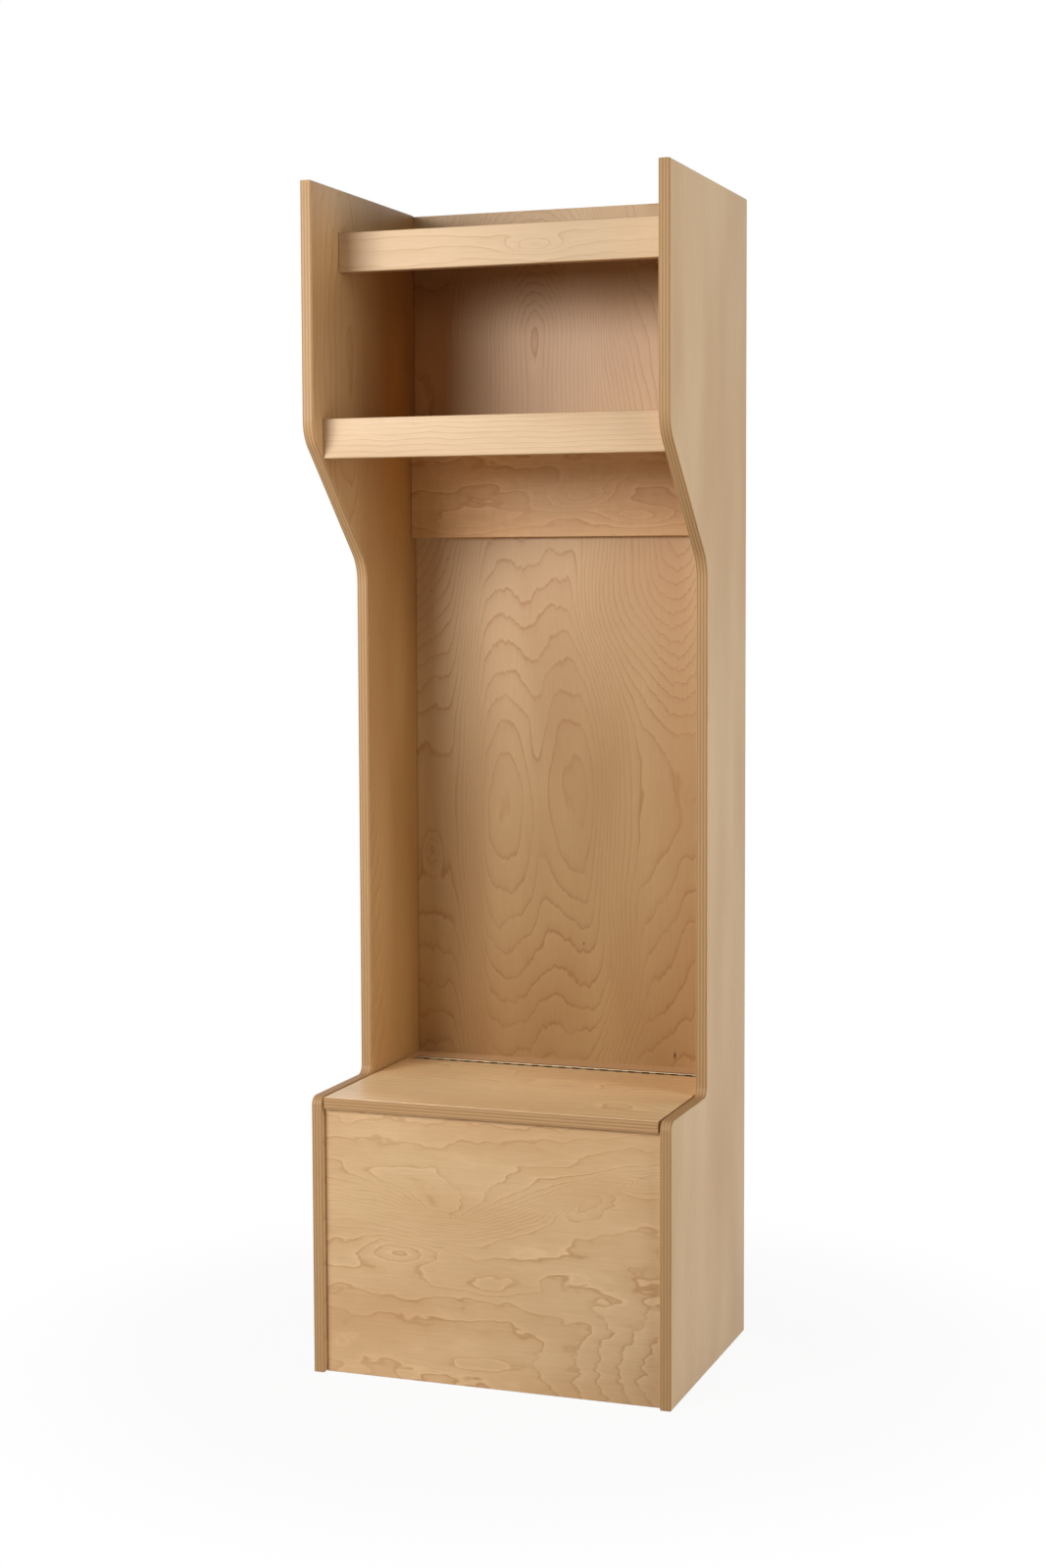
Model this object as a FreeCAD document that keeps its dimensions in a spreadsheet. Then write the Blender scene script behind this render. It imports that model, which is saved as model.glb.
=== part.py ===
import FreeCAD, Part

import math
import os

import Sketcher
from FreeCAD import Vector

# Stadium locker: an open sports locker in birch plywood with a lift-up bench seat.
# The frame has +Z up, +X to the right of someone who faces the locker, and its front
# towards -Y. The origin is at the middle of the footprint, on the floor.
# Every board is a body with its own sketches. Depths are measured from the wall plane,
# which is the back edge of the side panels.

os.makedirs("parts", exist_ok=True)
doc = FreeCAD.newDocument("StadiumLocker")

# Driving dimensions in millimetres, angles in degrees and counts
drivingSizes = [
    ("width", 609.6, "overall width, 24 in"),
    ("height", 1925, "overall height"),
    ("board", 19.5, "thickness of every plywood board"),
    ("upperDepth", 451, "depth of the sides above the slant"),
    ("middleDepth", 238.5, "depth of the sides along the hanging bay"),
    ("seatDepth", 443, "depth of the sides and lid at the bench"),
    ("seatHeight", 457.5, "top of the bench, 18 in"),
    ("slantTopDrop", 30, "from the middle shelf's top down to the top of the slant"),
    ("slantRise", 205, "height of the slant"),
    ("slantTopRadius", 60, "convex bend at the top of the slant"),
    ("slantFootRadius", 64, "concave bend at the foot of the slant"),
    ("seatCornerRadius", 15, "concave and convex corners of the bench"),
    ("sideEase", 2.8, "rounding of the sides' arrises"),
    ("boardEase", 1.6, "rounding of the other boards' front arrises"),
    ("seatEase", 2.5, "rounding of the seat's upper arrises"),
    ("grooveDepth", 6, "housings in the sides for shelves, back and bin floor"),
    ("grooveClearance", 0.1, "play of a board in its housing, each way"),
    ("jointGap", 0.6, "butt joints against the sides, each end"),
    ("backSetIn", 4.5, "rear face of the back panel in from the wall plane"),
    ("backDrop", 2.5, "top of the back panel below the top of the sides"),
    ("topShelfDrop", 70, "top shelf and its lip below the top of the sides"),
    ("topLipFront", 346, "depth of the top lip's front face"),
    ("compartmentPitch", 302.5, "from the top shelf's top down to the middle shelf's"),
    ("middleLipFront", 413.5, "depth of the middle lip's front face"),
    ("lipHeight", 63.5, "height of both lips, 2.5 in"),
    ("hookRailReach", 186, "from the middle shelf's top down to the rail's lower edge"),
    ("binPanelSetIn", 10, "front panel of the bin behind the sides' front edges"),
    ("binFloorHeight", 60, "underside of the bin floor"),
    ("cleatHeight", 38, "height of the ledges under the seat"),
    ("hingeLine", 89.3, "depth of the hinge pin"),
    ("hingeRise", 1.8, "hinge pin above the seat's top"),
    ("leafThickness", 1.2, "hinge sheet"),
    ("leafWidth", 13, "from the pin to a leaf's lower edge"),
    ("leafGap", 0.5, "between the closed leaves"),
    ("pinRadius", 1.25, "hinge pin"),
    ("pinFit", 0.05, "running clearance of the lid's knuckles on the pin"),
    ("pinHold", 0.02, "clearance of the fixed knuckles, which grip the pin"),
    ("knuckle", 12.5, "pitch of neighbouring knuckles"),
    ("knuckleGap", 0.3, "play between neighbouring knuckles"),
    ("notchRoom", 0.4, "leaf cut back from the other leaf's knuckles"),
    ("hingeMargin", 17, "least distance from the lid's ends to the hinge"),
    ("lidSideGap", 2.75, "lid to each side panel"),
    ("lidRestGap", 0.3, "lid above its ledges and the bin's front panel"),
    ("leafScrewDrop", 8, "hinge screws below the pin"),
    ("leafScrewLength", 16, "hinge screws"),
    ("leafScrewRadius", 1.6, "shank of the hinge screws"),
    ("leafScrewHead", 3.1, "head radius of the hinge screws"),
    ("leafScrewCount", 6, "screws in each leaf"),
    ("backScrewCount", 3, "screws in each row through the back panel"),
    ("woodScrewLength", 34, "screws through the back panel"),
    ("cleatScrewLength", 32, "screws through the ledges"),
    ("woodScrewRadius", 2.1, "shank of the wood screws"),
    ("woodScrewHead", 4.2, "head radius of the wood screws"),
    ("screwSink", 0.2, "screw heads below the face of the wood"),
    ("screwFit", 0.02, "screws and dowels in their holes, on the radius"),
    ("screwEndMargin", 70, "outer screws in from a board's ends"),
    ("dowelRadius", 4, "hidden dowels"),
    ("dowelInSide", 11, "dowel in the side panel"),
    ("dowelInBoard", 22, "dowel in the end of the board"),
    ("dowelTipGap", 1, "hole beyond the end of a dowel"),
    ("dowelMargin", 15, "outer dowels in from a narrow board's edges"),
    ("panelDowelMargin", 70, "outer dowels in from the bin panel's edges"),
    ("cutOverrun", 2, "cuts reach this far past a face"),
]
sizes = doc.addObject("Spreadsheet::Sheet", "Sizes")
for row, (alias, amount, note) in enumerate(drivingSizes, start=1):
    sizes.set(f"A{row}", note)
    sizes.set(f"B{row}", str(amount))
    sizes.setAlias(f"B{row}", alias)
doc.recompute()


class Formula(str):
    """An expression on the sheet's cells, put together with ordinary arithmetic."""

    def joined(self, sign, other, swapped=False):
        pair = (other, self) if swapped else (self, other)
        return Formula(f"({pair[0]} {sign} {pair[1]})")

    def __add__(self, other):
        return self.joined("+", other)

    def __sub__(self, other):
        return self.joined("-", other)

    def __mul__(self, other):
        return self.joined("*", other)

    def __rmul__(self, other):
        return self.joined("*", other, swapped=True)

    def __truediv__(self, other):
        return self.joined("/", other)

    def __neg__(self):
        return Formula(f"(0 - {self})")

    @property
    def number(self):
        result = sizes.evalExpression(str(self))
        return float(getattr(result, "Value", result))


cell = {alias: Formula(f"Sizes.{alias}") for alias, amount, note in drivingSizes}
zero = Formula("0")
measuringTolerance = 1e-4
countersinkAngle = 90

# Dowels, screws, their holes and the hinge's knuckles are regular prisms
fastenerSides = 6
barrelSides = 8
shareDigits = 12
# The distance from the middle to a flat, as a share of that to a corner
flatShare = math.cos(math.pi / fastenerSides)

# Planes that several pieces share, worked out from the driving dimensions
halfInner = cell["width"] / 2 - cell["board"]
innerWidth = cell["width"] - 2 * cell["board"]
wallPlane = cell["upperDepth"] / 2
backFace = wallPlane - cell["backSetIn"] - cell["board"]
topLipFace = wallPlane - cell["topLipFront"]
middleLipFace = wallPlane - cell["middleLipFront"]
hookRailFace = backFace - cell["board"]
seatFront = wallPlane - cell["seatDepth"]
binPanelFace = seatFront + cell["binPanelSetIn"]
binPanelRear = binPanelFace + cell["board"]
topLipTop = cell["height"] - cell["topShelfDrop"]
middleLipTop = topLipTop - cell["compartmentPitch"]
slantTop = middleLipTop - cell["slantTopDrop"]
slantFoot = slantTop - cell["slantRise"]
hookRailBottom = middleLipTop - cell["hookRailReach"]
topShelfUnderside = topLipTop - cell["board"]
middleShelfUnderside = middleLipTop - cell["board"]
seatUnderside = cell["seatHeight"] - cell["board"]
binPanelTop = seatUnderside - cell["lidRestGap"]
hingeY = wallPlane - cell["hingeLine"]
hingeZ = cell["seatHeight"] + cell["hingeRise"]
leafFace = cell["leafGap"] / 2
leafOutside = leafFace + cell["leafThickness"]
lidRear = hingeY - leafOutside
stripFront = hingeY + leafOutside
buttLength = innerWidth - 2 * cell["jointGap"]
housedLength = innerWidth + 2 * (cell["grooveDepth"] - cell["grooveClearance"])
lidLength = innerWidth - 2 * cell["lidSideGap"]


def near(first, second):
    """Two measures that are the same but for rounding."""
    return abs(first - second) < measuringTolerance


def originPlane(body, role):
    return next(item for item in body.Origin.OriginFeatures if item.Role == role)


def newBody(label, x=zero, y=zero, z=zero):
    """A body whose own origin lies at the given place of the locker."""
    body = doc.addObject("PartDesign::Body", label)
    body.Label = label
    for axis, place in (("x", x), ("y", y), ("z", z)):
        body.setExpression(f"Placement.Base.{axis}", place)
    return body


def newSketch(body, role, offset=zero):
    """A sketch on one of the body's own planes, moved along its normal."""
    sketch = body.newObject("Sketcher::SketchObject", "Sketch")
    sketch.AttachmentSupport = (originPlane(body, role), [""])
    sketch.MapMode = "FlatFace"
    sketch.setExpression("AttachmentOffset.Base.z", offset)
    return sketch


def bindPoint(sketch, geometry, position, x, y):
    """Ties a point of the sketch to its distances from the sketch's origin."""
    for kind, axis, place in (("DistanceX", -2, x), ("DistanceY", -1, y)):
        if near(place.number, 0):
            sketch.addConstraint(Sketcher.Constraint("PointOnObject", geometry, position, axis))
            continue
        index = sketch.addConstraint(
            Sketcher.Constraint(kind, -1, 1, geometry, position, place.number))
        sketch.setExpression(f"Constraints[{index}]", place)


def addOutline(sketch, corners):
    """A closed outline of straight lines through corners given as formulas."""
    first = sketch.GeometryCount
    points = [Vector(x.number, y.number, 0) for x, y in corners]
    for index, start in enumerate(points):
        sketch.addGeometry(Part.LineSegment(start, points[(index + 1) % len(points)]), False)
    for index, (x, y) in enumerate(corners):
        following = first + (index + 1) % len(corners)
        sketch.addConstraint(Sketcher.Constraint("Coincident", first + index, 2, following, 1))
        bindPoint(sketch, first + index, 1, x, y)


def addRectangle(sketch, left, bottom, right, top):
    addOutline(sketch, [(left, bottom), (right, bottom), (right, top), (left, top)])


def addPrisms(sketch, centres, radius, sides=fastenerSides):
    """Regular outlines round the centres, with their corners at the radius."""
    turns = [2 * math.pi * (index + 0.5) / sides for index in range(sides)]
    cornerShares = [(round(math.cos(turn), shareDigits), round(math.sin(turn), shareDigits))
                    for turn in turns]
    for x, y in centres:
        addOutline(sketch, [(x + radius * across, y + radius * up)
                            for across, up in cornerShares])


def extrude(body, kind, sketch, length, reverse=False, symmetric=False, taper=None):
    """A Pad or a Pocket of the sketch by a bound length."""
    feature = body.newObject(f"PartDesign::{kind}", kind)
    feature.Profile = sketch
    feature.Reversed = reverse
    if symmetric:
        feature.SideType = "Symmetric"
    feature.setExpression("Length", length)
    if taper is not None:
        feature.TaperAngle = taper
    doc.recompute()
    return feature


def cut(body, sketch, length, reverse=False, symmetric=False):
    """A Pocket that is checked to have taken material away."""
    before = body.Shape.Volume
    feature = extrude(body, "Pocket", sketch, length, reverse, symmetric)
    if near(body.Shape.Volume, before):
        raise RuntimeError(f"a cut in {body.Label} takes nothing away")
    return feature


def countersunk(body, kind, role, face, places, length, radius, headRadius, forward=True):
    """Countersunk screws (Pad) or their holes (Pocket) at the places, from the plane at
    face: along its normal when forward. The head narrows to the shank at its angle, and
    without a length there is only the head."""
    doc.recompute()
    before = body.Shape.Volume if body.Tip else 0
    reverse = forward == (kind == "Pocket")
    heads = newSketch(body, role, offset=face)
    addPrisms(heads, places, headRadius)
    features = [extrude(body, kind, heads, (headRadius - radius) * flatShare, reverse,
                        taper=-countersinkAngle / 2)]
    if length is not None:
        shanks = newSketch(body, role, offset=face)
        addPrisms(shanks, places, radius)
        features.append(extrude(body, kind, shanks, length, reverse))
    if near(body.Shape.Volume, before):
        raise RuntimeError(f"a screw or hole in {body.Label} changes nothing")
    return features


def repeat(body, features, pitch, count):
    """A row of the features along X at a steady pitch."""
    pattern = body.newObject("PartDesign::LinearPattern", "LinearPattern")
    pattern.Originals = features
    pattern.Direction = (originPlane(body, "X_Axis"), [""])
    pattern.Mode = "Spacing"
    pattern.setExpression("Offset", pitch)
    pattern.setExpression("Occurrences", count)
    body.Tip = pattern
    doc.recompute()


def mirrorAcross(body, features):
    """Repeats features on the other side of the body's middle plane."""
    mirrored = body.newObject("PartDesign::Mirrored", "Mirrored")
    mirrored.Originals = features
    mirrored.MirrorPlane = (originPlane(body, "YZ_Plane"), [""])
    body.Tip = mirrored
    doc.recompute()


def mirrorWhole(body):
    """Repeats the whole body on the other side of its middle plane."""
    mirrored = body.newObject("PartDesign::Mirrored", "Mirrored")
    mirrored.TransformMode = "Whole shape"
    mirrored.MirrorPlane = (originPlane(body, "YZ_Plane"), [""])
    body.Tip = mirrored
    doc.recompute()


def ease(body, chosen, radius):
    """Rounds the edges of the body whose bounding box passes the test."""
    base = body.Tip
    names = [f"Edge{index}" for index, edge in enumerate(base.Shape.Edges, start=1)
             if chosen(edge.BoundBox)]
    if not names:
        raise RuntimeError(f"no edge to round on {body.Label}")
    fillet = body.newObject("PartDesign::Fillet", "Fillet")
    fillet.Base = (base, names)
    fillet.setExpression("Radius", radius)
    doc.recompute()


def spread(count, first, last):
    """Evenly spaced places from the first to the last, both included."""
    return [first + (last - first) * index / (count - 1) for index in range(count)]


def alongX(box):
    return near(box.YMin, box.YMax) and near(box.ZMin, box.ZMax)


def newBoard(label, length, depth, tall, y, z):
    """A straight board centred on X, with its front lower edge at (y, z)."""
    body = newBody(label, y=y, z=z)
    sketch = newSketch(body, "XY_Plane")
    addRectangle(sketch, -length / 2, zero, length / 2, depth)
    extrude(body, "Pad", sketch, tall)
    return body


# Where the hidden dowels, the back screws and the ledge screws stand
def dowelPlaces():
    """Depth and height of each dowel, by joint, in the locker's frame."""
    board = cell["board"]
    lipMiddle = board / 2
    margin = cell["dowelMargin"]
    panelMargin = cell["panelDowelMargin"]
    stripMiddle = cell["seatHeight"] - board / 2
    topLipBottom = topLipTop - cell["lipHeight"]
    middleLipBottom = middleLipTop - cell["lipHeight"]
    return {
        "top_lip_dowels": [
            (topLipFace + lipMiddle, z)
            for z in spread(2, topLipBottom + margin, topLipTop - margin)],
        "middle_lip_dowels": [
            (middleLipFace + lipMiddle, z)
            for z in spread(2, middleLipBottom + margin, middleLipTop - margin)],
        "hook_rail_dowels": [
            (hookRailFace + lipMiddle, z)
            for z in spread(2, hookRailBottom + 2 * margin,
                            middleShelfUnderside - 2 * margin)],
        "rear_strip_dowels": [
            (y, stripMiddle) for y in spread(2, stripFront + margin, backFace - margin)],
        "front_panel_dowels": [
            (binPanelFace + lipMiddle, z)
            for z in spread(3, panelMargin, binPanelTop - panelMargin)],
    }


dowels = dowelPlaces()
cleatTop = seatUnderside - cell["lidRestGap"]
cleatMiddle = cleatTop - cell["cleatHeight"] / 2
rearCleatMiddle = seatUnderside - cell["cleatHeight"] / 2
binFloorTop = cell["binFloorHeight"] + cell["board"]
screwEdge = halfInner - cell["screwEndMargin"]
screwColumnPitch = 2 * screwEdge / (cell["backScrewCount"] - 1)
screwRows = [
    topShelfUnderside + cell["board"] / 2,
    middleShelfUnderside + cell["board"] / 2,
    (hookRailBottom + middleShelfUnderside) / 2,
    rearCleatMiddle,
    cell["binFloorHeight"] + cell["board"] / 2,
]
cleatScrewEnds = (binPanelRear + cell["screwEndMargin"], backFace - cell["screwEndMargin"])
cleatScrewPlaces = [(y, cleatMiddle) for y in spread(3, *cleatScrewEnds)]
woodScrewBore = cell["woodScrewRadius"] + cell["screwFit"]
woodScrewSink = cell["woodScrewHead"] + cell["screwFit"] + cell["screwSink"] / flatShare


def sidePanel(label, hand):
    """One profiled side: hand is -1 for the left and 1 for the right."""
    outward = hand < 0
    body = newBody(label, x=hand * halfInner)
    middleFront = wallPlane - cell["middleDepth"]
    upperFront = -wallPlane
    profile = newSketch(body, "YZ_Plane")
    addOutline(profile, [
        (wallPlane, zero),
        (wallPlane, cell["height"]),
        (upperFront, cell["height"]),
        (upperFront, slantTop),
        (middleFront, slantFoot),
        (middleFront, cell["seatHeight"]),
        (seatFront, cell["seatHeight"]),
        (seatFront, zero),
    ])
    extrude(body, "Pad", profile, cell["board"], reverse=outward)

    def corner(y, z):
        return lambda box: (near(box.YMin, y.number) and near(box.YMax, y.number)
                            and near(box.ZMin, z.number) and near(box.ZMax, z.number))

    bends = [
        (upperFront, slantTop, "slantTopRadius"),
        (middleFront, slantFoot, "slantFootRadius"),
        (middleFront, cell["seatHeight"], "seatCornerRadius"),
        (seatFront, cell["seatHeight"], "seatCornerRadius"),
    ]
    for y, z, radius in bends:
        ease(body, corner(y, z), cell[radius])
    ease(body, lambda box: near(box.XMin, box.XMax) and not near(box.YMin, wallPlane.number),
         cell["sideEase"])

    # The housings: the back runs the full height, the shelves and the floor stop behind
    # the boards that cover their front ends
    play = cell["grooveClearance"]
    backGroove = newSketch(body, "YZ_Plane")
    addRectangle(backGroove, backFace - play, -cell["cutOverrun"],
                 backFace + cell["board"] + play, cell["height"] + cell["cutOverrun"])
    cut(body, backGroove, cell["grooveDepth"], reverse=not outward)
    shelfGrooves = newSketch(body, "YZ_Plane")
    housings = [
        (topLipFace + cell["board"], topShelfUnderside),
        (middleLipFace + cell["board"], middleShelfUnderside),
        (binPanelRear, cell["binFloorHeight"]),
    ]
    for front, underside in housings:
        addRectangle(shelfGrooves, front - play, underside - play,
                     backFace, underside + cell["board"] + play)
    cut(body, shelfGrooves, cell["grooveDepth"], reverse=not outward)

    for places in dowels.values():
        sockets = newSketch(body, "YZ_Plane")
        addPrisms(sockets, places, cell["dowelRadius"] + cell["screwFit"])
        cut(body, sockets, cell["dowelInSide"] + cell["dowelTipGap"], reverse=not outward)
    pilots = newSketch(body, "YZ_Plane")
    addPrisms(pilots, cleatScrewPlaces, woodScrewBore)
    reach = cell["cleatScrewLength"] + cell["screwSink"] - cell["board"]
    cut(body, pilots, reach + cell["dowelTipGap"], reverse=not outward)
    return body


def drillEnds(body, length, places, y, z):
    """Dowel holes in both ends of a board whose front lower edge is at (y, z)."""
    sketch = newSketch(body, "YZ_Plane", offset=length / 2)
    addPrisms(sketch, [(placeY - y, placeZ - z) for placeY, placeZ in places],
              cell["dowelRadius"] + cell["screwFit"])
    holes = cut(body, sketch, cell["dowelInBoard"] + cell["dowelTipGap"])
    mirrorAcross(body, [holes])


def drillRearEdge(body, depth, height):
    """Pilot holes for the back screws in a board's rear edge."""
    sketch = newSketch(body, "XZ_Plane", offset=-depth)
    addPrisms(sketch, [(-screwEdge, height)], woodScrewBore)
    reach = cell["woodScrewLength"] + cell["screwSink"] - cell["board"]
    pilot = cut(body, sketch, reach + cell["dowelTipGap"], reverse=True)
    repeat(body, [pilot], screwColumnPitch, cell["backScrewCount"])


def backPanel():
    body = newBoard("back_panel", housedLength, cell["board"],
                    cell["height"] - cell["backDrop"], backFace, zero)
    holes = countersunk(body, "Pocket", "XZ_Plane", -cell["board"],
                        [(-screwEdge, z) for z in screwRows],
                        cell["board"] + cell["cutOverrun"], woodScrewBore, woodScrewSink)
    repeat(body, holes, screwColumnPitch, cell["backScrewCount"])
    return body


def shelf(label, front, underside):
    """A shelf housed in the sides, from its lip to the back panel."""
    y = front + cell["board"]
    depth = backFace - y
    body = newBoard(label, housedLength, depth, cell["board"], y, underside)
    drillRearEdge(body, depth, cell["board"] / 2)
    return body


def frontEdges(box):
    return alongX(box) and near(box.YMin, 0)


def lip(label, face, top, places):
    """A lip: the apron board across the front of a shelf, its front arrises eased."""
    z = top - cell["lipHeight"]
    body = newBoard(label, buttLength, cell["board"], cell["lipHeight"], face, z)
    drillEnds(body, buttLength, places, face, z)
    ease(body, frontEdges, cell["boardEase"])
    return body


def hookRail():
    z = hookRailBottom
    body = newBoard("hook_rail", buttLength, cell["board"], middleShelfUnderside - z,
                    hookRailFace, z)
    drillEnds(body, buttLength, dowels["hook_rail_dowels"], hookRailFace, z)
    drillRearEdge(body, cell["board"], (middleShelfUnderside - z) / 2)
    ease(body, lambda box: frontEdges(box) and near(box.ZMin, 0), cell["boardEase"])
    return body


def binPanel():
    body = newBoard("bench_front_panel", buttLength, cell["board"], binPanelTop,
                    binPanelFace, zero)
    drillEnds(body, buttLength, dowels["front_panel_dowels"], binPanelFace, zero)
    ease(body, frontEdges, cell["boardEase"])
    return body


def binFloor():
    depth = backFace - binPanelRear
    body = newBoard("bench_floor", housedLength, depth, cell["board"],
                    binPanelRear, cell["binFloorHeight"])
    drillRearEdge(body, depth, cell["board"] / 2)
    return body


def sideCleat(label, hand):
    """A ledge on a side panel, from the bin's front panel to the back panel."""
    body = newBody(label, x=hand * halfInner, z=cleatTop - cell["cleatHeight"])
    outward = hand < 0
    sketch = newSketch(body, "YZ_Plane")
    addRectangle(sketch, binPanelRear, zero, backFace, cell["cleatHeight"])
    extrude(body, "Pad", sketch, cell["board"], reverse=not outward)
    countersunk(body, "Pocket", "YZ_Plane", -hand * cell["board"],
                [(y, cell["cleatHeight"] / 2) for y, z in cleatScrewPlaces],
                cell["board"] + cell["cutOverrun"], woodScrewBore, woodScrewSink,
                forward=not outward)
    return body


def rearCleat():
    """The ledge on the back panel under the rear strip, between the side ledges."""
    length = innerWidth - 2 * cell["board"]
    body = newBoard("rear_strip_cleat", length, cell["board"], cell["cleatHeight"],
                    backFace - cell["board"], seatUnderside - cell["cleatHeight"])
    drillRearEdge(body, cell["board"], cell["cleatHeight"] / 2)
    return body


# The hinge: knuckles alternate between the leaves, starting with the lid's on the left
knucklePairs = Formula(
    f"floor(({lidLength} - 2 * {cell['hingeMargin']}) / (2 * {cell['knuckle']}))")
hingeLength = 2 * knucklePairs * cell["knuckle"]
barrelRadius = cell["pinRadius"] + cell["pinFit"] + cell["leafThickness"]
screwPitch = hingeLength / cell["leafScrewCount"]
firstLeafScrew = (screwPitch - hingeLength) / 2
leafScrewHeight = cell["board"] + cell["hingeRise"] - cell["leafScrewDrop"]
leafScrewBore = cell["leafScrewRadius"] + cell["screwFit"]
leafScrewSink = cell["leafScrewHead"] + cell["screwFit"]
edgeScrewSink = leafScrewSink - cell["leafThickness"] / flatShare


def hingeLeaf(label, hand, clearance, firstNotch):
    """A leaf with its row of knuckles. hand is -1 for the lid's leaf, in front of the pin,
    and 1 for the fixed one behind it. Notches leave room for the other leaf's knuckles."""
    body = newBody(label, y=hingeY, z=hingeZ)
    barrel = newSketch(body, "YZ_Plane")
    addPrisms(barrel, [(zero, zero)], barrelRadius, barrelSides)
    extrude(body, "Pad", barrel, hingeLength, symmetric=True)
    plate = newSketch(body, "YZ_Plane")
    faces = sorted([hand * leafFace, hand * leafOutside], key=lambda face: face.number)
    addRectangle(plate, faces[0], -cell["leafWidth"], faces[1], -cell["pinRadius"])
    extrude(body, "Pad", plate, hingeLength, symmetric=True)
    bore = newSketch(body, "YZ_Plane")
    addPrisms(bore, [(zero, zero)], (cell["pinRadius"] + clearance) / flatShare)
    cut(body, bore, hingeLength + cell["cutOverrun"], symmetric=True)

    # One screw hole, then the row of them
    inner = hand * leafFace
    holes = countersunk(body, "Pocket", "XZ_Plane", -inner,
                        [(firstLeafScrew, -cell["leafScrewDrop"])], None,
                        leafScrewBore, leafScrewSink, forward=hand < 0)
    repeat(body, holes, screwPitch, cell["leafScrewCount"])

    notch = newSketch(body, "XZ_Plane")
    start = firstNotch * cell["knuckle"] - hingeLength / 2
    addRectangle(notch, start - cell["knuckleGap"] / 2,
                 -(barrelRadius + cell["notchRoom"]),
                 start + cell["knuckle"] + cell["knuckleGap"] / 2,
                 barrelRadius + cell["cutOverrun"])
    gap = cut(body, notch, 2 * (barrelRadius + cell["cutOverrun"]), symmetric=True)
    repeat(body, [gap], 2 * cell["knuckle"], knucklePairs)
    return body


def hingePin():
    body = newBody("hinge_pin", y=hingeY, z=hingeZ)
    sketch = newSketch(body, "YZ_Plane")
    section = Part.Circle(Vector(0, 0, 0), Vector(0, 0, 1), cell["pinRadius"].number)
    circle = sketch.addGeometry(section, False)
    bindPoint(sketch, circle, 3, zero, zero)
    radius = sketch.addConstraint(Sketcher.Constraint("Radius", circle, section.Radius))
    sketch.setExpression(f"Constraints[{radius}]", cell["pinRadius"])
    extrude(body, "Pad", sketch, hingeLength, symmetric=True)
    return body


def seatLid():
    """The lid: its front stands over the bin's front panel, flush with the sides."""
    depth = lidRear - seatFront
    body = newBoard("seat_lid", lidLength, depth, cell["board"], seatFront, seatUnderside)
    holes = countersunk(body, "Pocket", "XZ_Plane", -depth,
                        [(firstLeafScrew, leafScrewHeight)],
                        cell["leafScrewLength"], leafScrewBore, edgeScrewSink)
    repeat(body, holes, screwPitch, cell["leafScrewCount"])
    ease(body, lambda box: near(box.ZMin, cell["board"].number)
         and near(box.ZMax, cell["board"].number), cell["seatEase"])
    ease(body, lambda box: frontEdges(box) and near(box.ZMin, 0), cell["boardEase"])
    return body


def rearStrip():
    """The fixed strip behind the hinge, flush with the lid."""
    depth = backFace - stripFront
    body = newBoard("bench_rear_strip", buttLength, depth, cell["board"],
                    stripFront, seatUnderside)
    drillEnds(body, buttLength, dowels["rear_strip_dowels"], stripFront, seatUnderside)
    holes = countersunk(body, "Pocket", "XZ_Plane", zero,
                        [(firstLeafScrew, leafScrewHeight)],
                        cell["leafScrewLength"], leafScrewBore, edgeScrewSink, forward=False)
    repeat(body, holes, screwPitch, cell["leafScrewCount"])
    ease(body, lambda box: frontEdges(box) and near(box.ZMin, cell["board"].number),
         cell["seatEase"])
    return body


# Fasteners: each group is one body of separate solids
def dowelGroup(label, places):
    """Dowels from the sockets in a side panel into the board's end, and their mirror."""
    body = newBody(label)
    sketch = newSketch(body, "YZ_Plane", offset=halfInner - cell["dowelInBoard"])
    addPrisms(sketch, places, cell["dowelRadius"])
    extrude(body, "Pad", sketch, cell["dowelInBoard"] + cell["dowelInSide"])
    mirrorWhole(body)
    return body


def screwGroups():
    """All the screws: through the back, in the hinge leaves and through the ledges."""
    wood = (cell["woodScrewRadius"], cell["woodScrewHead"])
    small = (cell["leafScrewRadius"], cell["leafScrewHead"])
    sink = cell["screwSink"]
    backRear = backFace + cell["board"] - sink
    body = newBody("back_panel_screws")
    row = countersunk(body, "Pad", "XZ_Plane", -backRear, [(-screwEdge, z) for z in screwRows],
                      cell["woodScrewLength"], *wood)
    repeat(body, row, screwColumnPitch, cell["backScrewCount"])
    for label, hand in (("hinge_lid_screws", -1), ("hinge_fixed_screws", 1)):
        body = newBody(label)
        screw = countersunk(body, "Pad", "XZ_Plane", -(hingeY + hand * leafFace),
                            [(firstLeafScrew, hingeZ - cell["leafScrewDrop"])],
                            cell["leafScrewLength"], *small, forward=hand < 0)
        repeat(body, screw, screwPitch, cell["leafScrewCount"])
    body = newBody("lid_cleat_screws")
    countersunk(body, "Pad", "YZ_Plane", halfInner - cell["board"] + sink, cleatScrewPlaces,
                cell["cleatScrewLength"], *wood)
    mirrorWhole(body)


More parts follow.
